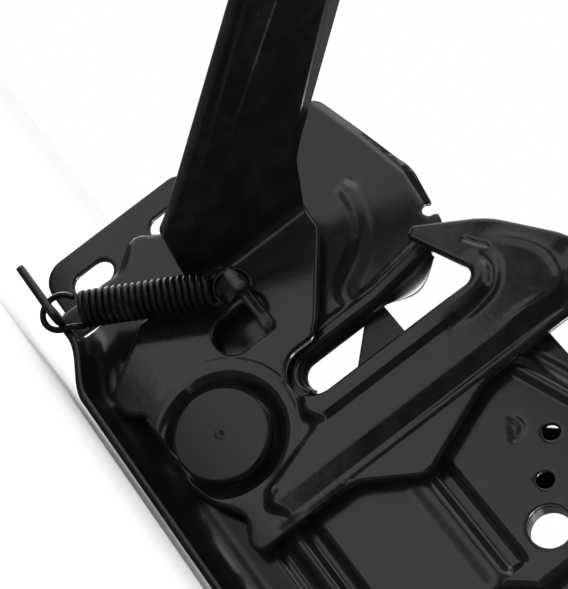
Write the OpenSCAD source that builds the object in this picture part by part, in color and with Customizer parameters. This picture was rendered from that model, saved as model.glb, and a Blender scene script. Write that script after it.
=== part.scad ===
// Bonnet latch in black coated pressed steel: a base plate with a striker slot, a sprung
// safety lever with hook and handle in front, and a claw, a pawl and a back plate behind.
// X runs to the right seen from the front, Y runs back from the viewer and Z runs up.

/* [Levels] */
// Front of the base pad ahead of the mounting plane
pad_h = 8; // [7.5:0.25:9]
// Thickness of the base and back sheets
base_t = 2; // [1.8:0.1:2.2]
// Thickness of the lever sheet
lever_t = 3; // [2.8:0.1:3.2]
// Gap between the base pad and the flat of the lever
lever_gap = 3; // [2.8:0.1:3.4]
// Depth of the space between the base plate and the back plate
cavity = 8; // [7.8:0.1:8.6]

/* [Pivot] */
// Radius of the big rivet head
head_r = 12; // [11:0.25:12.5]
// Thickness of the big rivet head
head_t = 3.6; // [3:0.1:4]
// Radius of the rivet shoulder that the lever turns on
shoulder_r = 7; // [6.5:0.1:7.2]
// Outside radius of the lever bush
bush_r = 9; // [8.8:0.1:9.4]
// Radius of the big rivet shank behind the shoulder
shank_r = 5; // [4.6:0.1:5.2]
// Inside radius of the dish pressed round the pivot
dish_r = 14.6; // [14.2:0.1:15]

/* [Mounting] */
// Half width of the two mounting slots
slot_r = 3.5; // [3.2:0.1:3.6]
// Length of a mounting slot from end to end
slot_len = 12; // [11:0.5:13]
// Distance between the two mounting slots
slot_pitch = 25; // [24:0.5:26]
// Radius of the right-hand bolt hole
bolt_r = 5.2; // [4.6:0.1:5.4]
// Outside radius of the spacer collar behind that hole
collar_r = 8; // [7.6:0.1:8.4]

/* [Striker slot] */
// Width of the striker slot
throat_w = 10.5; // [10:0.1:10.8]
// Radius of the striker bar
striker_r = 4; // [3.5:0.25:4.25]
// Depth of the turned-in lip round the slot
lip_depth = 4.4; // [4:0.1:4.6]

/* [Claw and pawl] */
// Thickness of the claw and of the pawl
claw_t = 4; // [3.6:0.1:4.2]
// Radius of the claw body
claw_r = 16.7; // [16:0.1:17]
// Angle between the open claw and the shut claw
claw_swing = 50; // [48:0.5:51]
// Radius of the claw rivet shank
claw_pin_r = 4; // [3.6:0.1:4.2]
// Wall of the spacer sleeves
sleeve_wall = 1.5; // [1.3:0.1:1.7]
// Radius of the spacer post sleeves
post_r = 4; // [3.7:0.1:4.2]
// Radius of the post rivet shanks
post_pin_r = 2.4; // [2.2:0.1:2.6]

/* [Springs] */
// Wire radius of the tension spring
spring_wire = 0.8; // [0.7:0.05:0.85]
// Mean radius of the tension spring coils
spring_r = 3.8; // [3.6:0.1:4]
// Number of coils of the tension spring
spring_turns = 20; // [17:1:20]
// Wire radius of the two torsion springs
torsion_wire = 0.5; // [0.4:0.05:0.55]

/* [Handle] */
// Angle by which the handle is folded forward
fold_angle = 80; // [76:1:84]
// Length of the handle beyond its root
handle_len = 74; // [66:1:80]

/* [Clearances] */
// Radial running clearance of the pieces that turn
run_gap = 0.05; // [0.03:0.01:0.08]
// Radial gap of the rivets in their plates
rivet_gap = 0.03; // [0.02:0.01:0.05]
// Thickness of the thin washers
washer_t = 0.4; // [0.3:0.05:0.45]
// Distance from the lever washer to the start of the bottom bend
washer_gap = 0.2; // [0.1:0.05:0.5]

/* [Hidden] */
$fn = 64;
e = 0.01;
far = 400;

// Levels along Y, counted from the mounting plane
pad_front = -pad_h;
pad_back = pad_front + base_t;
back_front = pad_back + cavity;
back_rear = back_front + base_t;
lever_back = pad_front - lever_gap;
lever_front = lever_back - lever_t;
dish_back = pad_front - washer_t - 0.1;
dish_front = dish_back - lever_t;
head_under = dish_front - 0.2;
step_h = 2;
rim_h = 1.2;
claw_front = back_front - washer_t - 0.35 - claw_t;
lever_black = [0.13, 0.13, 0.14];
base_black = [0.16, 0.16, 0.17];
zinc = [0.55, 0.55, 0.56];
wire_black = [0.2, 0.2, 0.2];

// The latched striker is the origin, and the drawing is laid out round the big rivet
throat_x = -0.95;
throat_bottom = 23.3;
latched_z = 31.5;
origin = [throat_x, 0, latched_z];
claw_at = [30, 33];
posts = [[-25, 35], [23, -5], [22.8, 70]];
bolt_at = [65.3, 47.5];
slot_x = -65;
slot_z = -3;
spring_y = lever_front - 7.5;
spring_low = [-47.67, spring_y, -9.39];
spring_high = [-29.53, spring_y, 19.29];
loop_r = 4.8;
loop_off = 5.3;
tab_z = -15.4;
fold_x = -37;
lip_z = -20.5;
bend_r = 8.5;
lip_reach = 12;
lever_washer_r = -lip_z - bend_r - washer_gap;

module placed() {
    translate(-origin) children();
}

// A flat sheet between two depths, drawn as seen from the front
module sheet(y_front, t) {
    translate([0, y_front + t, 0]) rotate([90, 0, 0]) linear_extrude(t) children();
}

// A round bar along Y
module bar(at, r, y_from, y_to) {
    translate([at[0], y_to, at[1]]) rotate([90, 0, 0]) cylinder(r = r, h = y_to - y_from);
}

module tube(at, r_out, r_in, y_from, y_to) {
    difference() {
        bar(at, r_out, y_from, y_to);
        bar(at, r_in, y_from - 1, y_to + 1);
    }
}

function unit(v) = v / norm(v);
function flat(p) = [p[0], p[1]];

// Points of one rounded corner b between its neighbours a and c; its third number is the radius
function corner(a, b, c) = b[2] == 0 ? [flat(b)] :
    let (u = unit(flat(a) - flat(b)))
    let (v = unit(flat(c) - flat(b)))
    let (half = acos(max(-1, min(1, u * v))) / 2)
    let (mid = flat(b) + unit(u + v) * b[2] / sin(half))
    let (s = flat(b) + u * b[2] / tan(half) - mid)
    let (f = flat(b) + v * b[2] / tan(half) - mid)
    let (a0 = atan2(s[1], s[0]))
    let (turn = atan2(s[0] * f[1] - s[1] * f[0], s * f))
    let (n = max(2, ceil(abs(turn) / 15)))
    [for (i = [0:n]) mid + b[2] * [cos(a0 + turn * i / n), sin(a0 + turn * i / n)]];

function rounded(p) = [for (i = [0:len(p) - 1])
    each corner(p[(i + len(p) - 1) % len(p)], p[i], p[(i + 1) % len(p)])];

// Direction of an open line at point i, and its two sides as one closed strip
function along(p, i) = unit(p[min(i + 1, len(p) - 1)] - p[max(i - 1, 0)]);
function aside(p, i) = [-along(p, i)[1], along(p, i)[0]];
function strip(p, left, right) = concat(
    [for (i = [0:len(p) - 1]) p[i] + left * aside(p, i)],
    [for (i = [len(p) - 1:-1:0]) p[i] - right * aside(p, i)]);

// A smooth line through control points, by cubic blends between them
function blend(p, i, t) =
    let (a = p[max(i - 1, 0)])
    let (b = p[i])
    let (c = p[i + 1])
    let (d = p[min(i + 2, len(p) - 1)])
    0.5 * (2 * b + (c - a) * t + (2 * a - 5 * b + 4 * c - d) * t * t + (3 * b - a - 3 * c + d) * t * t * t);
function smooth(p, n) = concat([for (i = [0:len(p) - 2], k = [0:n - 1]) blend(p, i, k / n)], [p[len(p) - 1]]);

// A wire swept along a line of points
function heading(p, i) = unit(p[min(i + 1, len(p) - 1)] - p[max(min(i, len(p) - 1) - 1, 0)]);
function across(v, t) = unit(v - (v * t) * t);
function frames(p) = [for (i = 0, u = across([0.31, 0.82, 0.47], heading(p, 0)); i < len(p);
    i = i + 1, u = across(u, heading(p, i))) u];
module wire(p, r, k) {
    u = frames(p);
    n = len(p);
    rings = [for (i = [0:n - 1], j = [0:k - 1])
        p[i] + r * (cos(360 * j / k) * u[i] + sin(360 * j / k) * cross(heading(p, i), u[i]))];
    upper = [for (i = [0:n - 2], j = [0:k - 1]) [i * k + j, (i + 1) * k + j, (i + 1) * k + (j + 1) % k]];
    lower = [for (i = [0:n - 2], j = [0:k - 1]) [i * k + j, (i + 1) * k + (j + 1) % k, i * k + (j + 1) % k]];
    first = [[for (j = [0:k - 1]) j]];
    last = [[for (j = [k - 1:-1:0]) (n - 1) * k + j]];
    polyhedron(concat(rings), concat(upper, lower, first, last), convexity = 10);
}

// Base plate outlines
pad_left = smooth([[-59.3, -14], [-59.3, -4], [-59.4, 3], [-64.2, 9.4], [-64.2, 13.6], [-60.2, 19.4],
    [-60, 28], [-62, 38]], 4);
pad_top = [[-65, 72, 4], [-31, 79, 14], [-13, 75.4, 2], [-10.4, 70, 4]];
pad_right = [[6, 72, 3], [12, 77, 4], [76, 77, 6], [76, 37, 0], [71, 31, 0], [71, -13, 0]];
// Upright wall of the right edge and the flange at its foot
edge_wall = [[71, -13], [71, 31], [76, 37], [76, 71], [74, 71], [74, 37.7], [69, 31.7], [69, -13]];
edge_flange = [[69, -13, 0], [84, -13, 6], [84, 71, 8], [74, 71, 0], [74, 37.7, 0], [69, 31.7, 0]];
pad_rest = rounded(concat([[-62, 38, 0]], pad_top, pad_right, [[-44, -13, 0]]));

module throat(grow) {
    w = throat_w / 2 + grow;
    translate([throat_x, throat_bottom + throat_w / 2]) circle(w);
    polygon([[throat_x - w, throat_bottom + throat_w / 2], [throat_x - w, 52], [throat_x - w - 2.4, 69],
        [throat_x - w - 6, 82], [throat_x + w + 6, 82], [throat_x + w + 1.5, 70], [throat_x + w, 56],
        [throat_x + w, throat_bottom + throat_w / 2]]);
}

module slot_hole(z) {
    run = slot_len / 2 - slot_r;
    for (s = [-1, 1]) translate([slot_x, z + s * run]) circle(slot_r);
    translate([slot_x - slot_r, z - run]) square([2 * slot_r, 2 * run]);
}

module pad_outline() {
    polygon(concat(pad_left, [for (i = [1:len(pad_rest) - 1]) pad_rest[i]]));
}

// Profile of the bottom lip in depth and height: web, round bend and lip
module lip_profile() {
    translate([pad_front, lip_z + bend_r]) square([base_t, 10]);
    translate([pad_front - bend_r, lip_z + bend_r]) intersection() {
        difference() {
            circle(bend_r + base_t);
            circle(bend_r);
        }
        translate([0, -bend_r - base_t]) square(bend_r + base_t);
    }
    translate([pad_front - lip_reach, lip_z - base_t]) square([lip_reach - bend_r, base_t]);
}

module lip_run(length) {
    rotate([90, 0, 90]) linear_extrude(length) lip_profile();
}

// Half-round bead on the pad along X
module bead(x_from, x_to, z, half_w, h) {
    r = (half_w * half_w + h * h) / (2 * h);
    intersection() {
        translate([x_from, pad_front + r - h, z]) rotate([0, 90, 0]) cylinder(r = r, h = x_to - x_from);
        translate([x_from, pad_front - far, z - half_w]) cube([x_to - x_from, far + e, 2 * half_w]);
    }
}

module base_plate() {
    tilt_len = 15;
    tilt = asin((tab_z + base_t / 2 - lip_z - 0.2) / tilt_len);
    placed() color(base_black) difference() {
        union() {
            sheet(pad_front, base_t) pad_outline();
            // Step from the pad back to the left flange
            sheet(pad_front, pad_h) polygon(strip(pad_left, 0, base_t));
            // Left mounting flange
            sheet(-base_t, base_t) polygon(concat(
                [for (i = [len(pad_left) - 1:-1:0]) pad_left[i] + base_t * 0.5 * [1, 0]],
                rounded([[-59, -14.5, 0], [-75.5, -14.5, 7], [-75.5, 30, 5], [-62, 40, 2]])));
            // Bottom lip, which rises at its left end
            translate([-30, 0, 0]) lip_run(101);
            intersection() {
                translate([-30, 0, lip_z]) rotate([0, tilt, 0]) translate([-tilt_len, 0, -lip_z]) lip_run(tilt_len + 3);
                translate([-46, -far, -far]) cube([46, 2 * far, far - 8]);
            }
            // Spring tab with a waist for the spring loop
            translate([0, 0, tab_z - base_t / 2]) linear_extrude(base_t) polygon(rounded([[-38, -14, 0],
                [-40, -20, 1], [-47.8, spring_y + 1.5, 1], [-47.8, spring_y - 1.6, 1], [-46.5, spring_y - 2.4, 1],
                [-47, spring_y - 6, 2], [-66, spring_y - 5.6, 1.5], [-66, spring_y - 2.4, 1.5],
                [-53.2, spring_y - 1.6, 1], [-53.2, spring_y + 2, 1], [-50, -14, 2]]));
            // Right edge set back to the mounting plane
            sheet(pad_front, pad_h) polygon(edge_wall);
            sheet(-base_t, base_t) polygon(rounded(edge_flange));
            // Lip round the striker slot and the deeper guide at its mouth
            intersection() {
                sheet(pad_front, lip_depth) throat(base_t);
                translate([-far, -far, -far]) cube([2 * far, 2 * far, far + 68]);
            }
            translate([throat_x - throat_w / 2 - base_t, 0, 52.5]) rotate([0, -8, 0]) rotate([90, 0, 90])
                linear_extrude(base_t) intersection() {
                    translate([pad_front - 3.6, 7.6]) circle(10.8);
                    translate([pad_front, 0]) square([20, 15.5]);
                }
            // Turned-back top edge
            sheet(pad_front, 5) polygon(strip(smooth([[-63.5, 73.4], [-48, 76], [-31, 77.6], [-22, 76.4]], 4),
                0, base_t));
            // Pressed beads
            bead(41, 69, 31.5, 2.6, 1.5);
            bead(32, 69, -0.6, 2.6, 1.5);
            bead(34, 66, 70, 2.2, 1.3);
            sheet(pad_front - 1.3, 1.3 + e) polygon(strip(smooth([[-36.5, 62.4], [-30, 61.4], [-24, 58.6],
                [-19, 53], [-15.4, 47], [-12.6, 45]], 4), 2.4, 2.4));
        }
        sheet(pad_front - 5, far) throat(0);
        sheet(-far / 2, far) for (k = [0, 1]) slot_hole(slot_z + k * slot_pitch);
        bar(bolt_at, bolt_r, -far, far);
        bar([47.8, 61.8], 2.1, -far, far);
        bar([56, 53.5], 2.1, -far, far);
        // Small round notch in the top edge
        bar([-18, 75], 2, -far, far);
        bar([0, 0], shank_r + rivet_gap, -far, far);
        bar(claw_at, claw_pin_r + rivet_gap, -far, far);
        for (p = posts) bar(p, post_pin_r + rivet_gap, -far, far);
    }
}

// Back plate outline, open to the left of the striker slot
back_outline = [[-32, 26, 6], [-32, 44, 6], [-20, 44, 5], [-13.5, 24, 2], [5, 24, 0], [5, 76, 3], [29, 76, 5],
    [33, 63, 3], [38, 58, 2], [47.5, 68, 3], [57, 65, 4], [57, 52, 4], [54.4, 44, 4], [48, 34, 5], [48, 18, 6],
    [30, -12, 5], [-8, -13, 6], [-14, -4, 5]];

module back_plate() {
    anchor_x = -30;
    placed() color(base_black) difference() {
        union() {
            sheet(back_front, base_t) polygon(rounded(back_outline));
            // Cable anchor: an arm to the left with a turned-back ear
            sheet(back_front, base_t) polygon(rounded([[-4, -3, 0], [anchor_x, -6, 2], [anchor_x, -20, 2],
                [anchor_x + 8, -20, 3], [-4, -12, 2]]));
            translate([anchor_x, back_front, -20]) cube([base_t, 12, 14]);
        }
        sheet(-far / 2, far) throat(0);
        translate([anchor_x - 1, back_rear + 5, -13]) rotate([0, 90, 0]) cylinder(r = 3, h = base_t + 2);
        translate([anchor_x - 1, back_rear + 3.4, -13]) cube([base_t + 2, 3.2, far]);
        bar([0, 0], shank_r + rivet_gap, -far, far);
        bar(claw_at, claw_pin_r + rivet_gap, -far, far);
        for (p = posts) bar(p, post_pin_r + rivet_gap, -far, far);
    }
}

// Lever outline seen from the front, anticlockwise from the hook's tip
lever_outline = [[-11.4, 65.1, 0.8], [8.5, 73.2, 3.6], [8.5, 20.3, 7], [-6.7, 20.3, 7], [-6.5, 32, 3],
    [-10, 35.6, 6], [-29.5, 50.2, 3], [fold_x, 51, 0], [fold_x, 16, 0], [-39, 12, 2], [-38.6, 0.2, 1.5],
    [-27, -16.6, 4.5], [-21, -16.6, 3.5], [-17.4, -12.8, 2], [-8, -13, 3], [4, -13.7, 8], [12, -11.4, 8],
    [20.6, -6.6, 4], [26, -10.2, 2.4], [29.6, -9.4, 1.6], [29.8, 18, 9], [39.8, 33, 6], [29.7, 58, 24],
    [29.7, 96.4, 9], [14, 96.2, 8], [-2.5, 83.4, 24], [-13.4, 67.4, 1.2]];
// Raised field of the arm, and the rim that borders the slot
field_outline = [[-1.5, 74.2, 2], [7, 76.6, 3], [12.2, 71, 4], [12.2, 18.5, 2], [19.6, 0, 2], [22.6, -1.5, 1.2],
    [25.4, 4, 3], [25.4, 84, 6], [18, 90, 6], [9, 89.2, 8], [-2, 80, 3]];
rim_line = smooth([[10.4, 21.5], [10.4, 30], [10.5, 50], [10.7, 66], [8.6, 73], [3.5, 74.4], [-2.4, 72.4],
    [-8.5, 69]], 4);

module lug() {
    translate([0, 0, 23.7]) linear_extrude(lever_t) polygon(rounded([[-15, lever_back, 0], [-15, lever_front - 2, 2],
        [-24.4, spring_y + 1.6, 2], [-24.4, spring_y - 1.4, 1], [-23, spring_y - 2.4, 1], [-23.4, spring_y - 4.4, 1.2],
        [-30, spring_y - 4.4, 1.2], [-30.2, spring_y - 2.2, 1], [-29, spring_y - 1.4, 1], [-29, spring_y + 1.8, 2],
        [-25.4, lever_front - 2, 2], [-25.4, lever_back, 0]]));
}

// Handle drawn flat: distance from the fold, then height
handle_run = [0.742, 0.671];
edge_run = [0.783, 0.622];
handle_foot = [24.2, 19.2];
handle_knee = [15.2, 54.8];
handle_end = handle_knee + (handle_len - 22) * edge_run;

module handle_flat() {
    tip = handle_foot + handle_len * handle_run;
    polygon(rounded([[-1, 16.4, 0], [handle_foot[0] - 2.5, handle_foot[1] - 1.4, 5], [tip[0], tip[1], 8],
        [handle_end[0], handle_end[1], 8], [handle_knee[0], handle_knee[1], 12], [0, 50.8, 2], [-1, 50.8, 0]]));
}

module handle() {
    bead_r = 3.2;
    flange_h = 3;
    translate([fold_x, lever_front, 0]) rotate([0, 0, 180 + fold_angle]) {
        rotate([90, 0, 0]) linear_extrude(lever_t) handle_flat();
        // Right edge turned back
        rotate([90, 0, 0]) linear_extrude(lever_t + flange_h) polygon(strip([handle_knee + 8 * edge_run,
            handle_end - 9 * edge_run], 0, lever_t));
        // Pressed bead along the handle
        intersection() {
            translate([27, -bead_r + 1.2, 31.4]) rotate([0, atan2(handle_run[0], handle_run[1]), 0]) {
                cylinder(r = bead_r, h = handle_len - 22);
                sphere(bead_r);
                translate([0, 0, handle_len - 22]) sphere(bead_r);
            }
            translate([-far, -lever_t / 2, -far]) cube([2 * far, far, 2 * far]);
        }
    }
    // Outside of the fold
    translate([fold_x, lever_front, 16.2]) rotate([0, 0, 90]) rotate_extrude(angle = fold_angle) square([lever_t, 34.6]);
}

module safety_lever() {
    hole = [[-25.4, 24, 0.5], [-25.4, 12, 5], [-14.7, 12, 5], [-14.7, 24, 0.5]];
    placed() color(lever_black) difference() {
        union() {
            difference() {
                sheet(lever_front, lever_t) polygon(rounded(lever_outline));
                bar([0, 0], dish_r, -far, far);
                sheet(-far / 2, far) difference() {
                    polygon(rounded([for (p = field_outline) [p[0] + (p[0] > 14 ? -2 : 2), p[1], p[2]]]));
                    translate([-10, 60]) square([20, 40]);
                }
            }
            // Dish round the pivot, open at the lever's lower edge
            intersection() {
                union() {
                    tube([0, 0], dish_r + lever_t, dish_r, lever_front, dish_back);
                    bar([0, 0], dish_r + lever_t, dish_front, dish_back);
                }
                sheet(-far / 2, far) polygon(rounded(lever_outline));
            }
            // Raised field of the arm with its sloping outer wall
            sheet(lever_front - step_h, lever_t) intersection() {
                polygon(rounded(field_outline));
                polygon(rounded(lever_outline));
            }
            translate([0, 0, 4]) linear_extrude(78) polygon([[22, lever_front - step_h], [27.4, lever_front],
                [27.4, lever_back], [26.4, lever_back], [21.4, lever_back - step_h]]);
            // Rim along the slot
            sheet(lever_front - step_h - rim_h, lever_t + rim_h) intersection() {
                polygon(strip(rim_line, 1.9, 1.9));
                polygon(rounded(lever_outline));
            }
            lug();
            handle();
        }
        sheet(-far / 2, far) polygon(rounded(hole));
        bar([0, 0], bush_r, -far, far);
    }
}

module lever_rivet() {
    placed() color(lever_black) {
        bar([0, 0], head_r, head_under - head_t, head_under);
        bar([0, 0], shoulder_r, head_under - e, pad_front);
        bar([0, 0], shank_r, pad_front - e, back_rear + e);
        bar([0, 0], shank_r + 3, back_rear, back_rear + 2);
    }
}

module lever_bush() {
    placed() color("ivory") tube([0, 0], bush_r, shoulder_r + run_gap, dish_front, dish_back);
}

module lever_washer() {
    placed() color(zinc) tube([0, 0], lever_washer_r, shoulder_r + run_gap, pad_front - washer_t, pad_front);
}

// Tension spring: lower loop, coils and upper loop as one wire
module lever_spring() {
    span = norm(spring_high - spring_low);
    a = unit(spring_high - spring_low);
    s = [a[2], 0, -a[0]];
    d = [0, 1, 0];
    low = spring_low - loop_off * a;
    high = spring_high + loop_off * a;
    low_loop = [for (i = [0:16]) low + loop_r * (cos(-50 - 250 * i / 16) * a + sin(-50 - 250 * i / 16) * s)];
    high_loop = [for (i = [0:16]) high - loop_r * (cos(60 - 250 * i / 16) * a - sin(60 - 250 * i / 16) * s)];
    n = spring_turns * 12;
    coils = [for (i = [0:n]) spring_low + a * span * i / n
        + spring_r * (cos(30 * i) * s + sin(30 * i) * d)];
    placed() color(wire_black) wire(concat(low_loop, coils, high_loop), spring_wire, 6);
}

seat_turn = claw_swing;
seat_arm = [throat_x - claw_at[0], latched_z - claw_at[1]];
seat = claw_at + [seat_arm[0] * cos(seat_turn) + seat_arm[1] * sin(seat_turn),
    seat_arm[1] * cos(seat_turn) - seat_arm[0] * sin(seat_turn)];
seat_r = striker_r + 0.6;
jaw_up = [sin(seat_turn), cos(seat_turn)];
jaw_out = [-cos(seat_turn), sin(seat_turn)];
flank = seat + seat_r * jaw_up;
jaw_tip = flank + 9 * jaw_out;

// Lower jaw, whose edge shows in the striker slot, and upper jaw, which closes over the striker
lower_jaw = [[claw_at[0] - 12, claw_at[1] - 4, 0], [9.2, 29.5, 0.6], [-9.6, 48, 1.2], [-7.4, seat[1] - seat_r, 2.4],
    [seat[0], seat[1] - seat_r, 0], [claw_at[0], claw_at[1] + 12, 0]];
upper_jaw = [[seat[0] + 1, seat[1] - seat_r, 0], [flank[0], flank[1], 0], [jaw_tip[0], jaw_tip[1], 1.6],
    [jaw_tip[0] + 3.5, jaw_tip[1] + 3, 2.5], [14, 69.4, 5], [25, 63.4, 10],
    [claw_at[0] + claw_r - 1, claw_at[1], 0], [claw_at[0], claw_at[1], 0]];
// Notch that the pawl drops into once the claw is shut: angle, then distance from the claw rivet
notch = [[207, claw_r + 6], [207, claw_r - 3.2], [194, claw_r - 2.6], [194, claw_r + 1]];
claw_leg = [0, 12];

module claw() {
    placed() color(zinc) difference() {
        union() {
            bar(claw_at, claw_r, claw_front, claw_front + claw_t);
            sheet(claw_front, claw_t) polygon(rounded(lower_jaw));
            sheet(claw_front, claw_t) polygon(rounded(upper_jaw));
        }
        bar(seat, seat_r, -far, far);
        sheet(-far / 2, far) translate(claw_at) polygon([for (q = notch) q[1] * [cos(q[0]), sin(q[0])]]);
        bar(claw_at, claw_pin_r + rivet_gap + sleeve_wall + run_gap, -far, far);
        bar(claw_at + claw_leg, torsion_wire + 0.35, -far, far);
    }
}

module claw_rivet() {
    placed() color(lever_black) {
        bar(claw_at, claw_pin_r + 2.5, pad_front - 1.8, pad_front);
        bar(claw_at, claw_pin_r, pad_front - e, back_rear + e);
        bar(claw_at, claw_pin_r + 2.5, back_rear, back_rear + 1.8);
    }
}

module claw_sleeve() {
    placed() color(zinc) tube(claw_at, claw_pin_r + rivet_gap + sleeve_wall, claw_pin_r + rivet_gap, pad_back, back_front);
}

module claw_washer() {
    placed() color(zinc) tube(claw_at, claw_pin_r + 6, claw_pin_r + rivet_gap + sleeve_wall + run_gap,
        back_front - washer_t, back_front);
}

// Torsion spring round a sleeve, with a leg that bears on a post and a leg hooked into the moving piece
module torsion(at, coil_r, post, side, leg) {
    y0 = pad_back + torsion_wire + 0.1;
    rise = 2.1 * torsion_wire;
    a0 = atan2(post[1] - at[1], post[0] - at[0]) + 70;
    a1 = atan2(leg[1], leg[0]) - 60;
    sweep = 360 + (a1 - a0 + 720) % 360;
    n = 26;
    coil = [for (i = [0:n]) [at[0] + coil_r * cos(a0 + sweep * i / n), y0 + rise * i / n * sweep / 360,
        at[1] + coil_r * sin(a0 + sweep * i / n)]];
    start = at + coil_r * [cos(a0), sin(a0)];
    reach = norm(post - start);
    bear_r = post_r + torsion_wire + 0.03;
    aim = atan2(post[1] - start[1], post[0] - start[0]) + side * asin(bear_r / reach);
    rest = start + (sqrt(reach * reach - bear_r * bear_r) + 2) * [cos(aim), sin(aim)];
    end = [at[0] + leg[0], y0 + rise * sweep / 360, at[1] + leg[1]];
    wire(concat([[rest[0], y0, rest[1]]], coil,
        [end, [end[0], end[1] + 0.8, end[2]], [end[0], claw_front + 2, end[2]]]), torsion_wire, 6);
}

module claw_spring() {
    placed() color(wire_black) torsion(claw_at, claw_pin_r + rivet_gap + sleeve_wall + 1.6, posts[2], -1, claw_leg);
}

pawl_leg = [13.6, 5.6];
tooth = claw_at + (claw_r + 0.45) * [cos(250), sin(250)];
pawl_arm = [[-4, 8, 0], [6, 9, 2], [tooth[0] - 4.6, tooth[1] - 4.6, 2], [tooth[0] - 1.7, tooth[1] + 0.4, 0.3],
    [tooth[0] + 1.2, tooth[1] - 0.7, 0.4], [tooth[0] + 2.4, tooth[1] - 6, 3], [8, -6, 4], [0, -8, 0]];
// Tail that takes the cable
pawl_tail = [[-7, 0, 0], [-4.5, -18.5, 3], [4.5, -18.5, 3], [7, 0, 0]];

module pawl() {
    placed() color(zinc) difference() {
        union() {
            bar([0, 0], shank_r + sleeve_wall + 3.4, claw_front, claw_front + claw_t);
            sheet(claw_front, claw_t) polygon(rounded(pawl_arm));
            sheet(claw_front, claw_t) polygon(rounded(pawl_tail));
        }
        bar([0, 0], shank_r + rivet_gap + sleeve_wall + run_gap, -far, far);
        bar([0, -14], 2.4, -far, far);
        bar(pawl_leg, torsion_wire + 0.35, -far, far);
    }
}

module pawl_sleeve() {
    placed() color(zinc) tube([0, 0], shank_r + rivet_gap + sleeve_wall, shank_r + rivet_gap, pad_back, back_front);
}

module pawl_washer() {
    placed() color(zinc) tube([0, 0], shank_r + 5, shank_r + rivet_gap + sleeve_wall + run_gap,
        back_front - washer_t, back_front);
}

module pawl_spring() {
    placed() color(wire_black) torsion([0, 0], shank_r + rivet_gap + sleeve_wall + 1.6, posts[1], 1, pawl_leg);
}

module post_rivets() {
    placed() color(lever_black) for (p = posts) {
        bar(p, post_pin_r + 2, pad_front - 1.6, pad_front);
        bar(p, post_pin_r, pad_front - e, back_rear + e);
        bar(p, post_pin_r + 2, back_rear, back_rear + 1.6);
    }
}

module post_sleeves() {
    placed() color(zinc) for (p = posts) tube(p, post_r, post_pin_r + rivet_gap, pad_back, back_front);
}

module mount_collar() {
    placed() color(zinc) tube(bolt_at, collar_r, bolt_r, pad_back, 0);
}

base_plate();
back_plate();
safety_lever();
lever_rivet();
lever_bush();
lever_washer();
lever_spring();
claw();
claw_rivet();
claw_sleeve();
claw_washer();
claw_spring();
pawl();
pawl_sleeve();
pawl_washer();
pawl_spring();
post_rivets();
post_sleeves();
mount_collar();
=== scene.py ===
import math
from itertools import accumulate

import bmesh
import bpy
import numpy as np
from mathutils import Matrix, Vector


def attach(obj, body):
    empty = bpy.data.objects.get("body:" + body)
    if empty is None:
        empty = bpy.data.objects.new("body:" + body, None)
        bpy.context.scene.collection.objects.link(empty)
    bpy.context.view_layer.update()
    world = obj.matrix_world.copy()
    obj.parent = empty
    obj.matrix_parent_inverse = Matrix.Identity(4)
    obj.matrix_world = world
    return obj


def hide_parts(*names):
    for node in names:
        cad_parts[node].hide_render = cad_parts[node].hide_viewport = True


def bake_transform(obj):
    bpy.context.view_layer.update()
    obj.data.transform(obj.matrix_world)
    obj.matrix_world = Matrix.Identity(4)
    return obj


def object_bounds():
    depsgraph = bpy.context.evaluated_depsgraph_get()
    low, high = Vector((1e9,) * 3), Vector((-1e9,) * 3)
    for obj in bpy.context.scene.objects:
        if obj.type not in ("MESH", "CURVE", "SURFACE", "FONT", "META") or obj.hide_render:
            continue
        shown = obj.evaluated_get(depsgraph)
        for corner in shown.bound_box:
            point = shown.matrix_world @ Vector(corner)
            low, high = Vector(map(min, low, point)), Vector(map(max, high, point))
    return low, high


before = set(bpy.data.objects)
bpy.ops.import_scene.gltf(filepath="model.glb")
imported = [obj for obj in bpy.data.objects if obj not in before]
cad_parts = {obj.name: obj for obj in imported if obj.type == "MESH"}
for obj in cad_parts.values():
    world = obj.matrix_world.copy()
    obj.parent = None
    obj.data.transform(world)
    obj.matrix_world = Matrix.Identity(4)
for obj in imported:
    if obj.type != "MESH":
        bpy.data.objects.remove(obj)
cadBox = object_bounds()

# every number below is in millimetres round the big rivet: x to the right, y back, z up
strikerAt = np.array([-0.95, 0.0, 31.5])  # the row's origin seen from the rivet


def toRow(points):  # millimetres round the rivet to metres in the row's own frame
    return (np.asarray(points, float) - strikerAt) * 0.001


def ramp(value, low, high):  # smooth step from 0 at low to 1 at high
    t = np.clip((value - low) / (high - low), 0, 1)
    return t * t * (3 - 2 * t)


def bell(value, centre, halfWidth, soft):  # flat-topped hump with soft shoulders
    return 1 - ramp(np.abs(value - centre), halfWidth, halfWidth + soft)


def rollOver(t, radius, drop, fall):
    # a quarter round of the radius, then a steep fall to the full drop
    q = np.clip(t / radius, 0, 1)
    return radius * (1 - np.sqrt(1 - q * q)) + (drop - radius) * ramp(t, radius, radius + fall)


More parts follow.
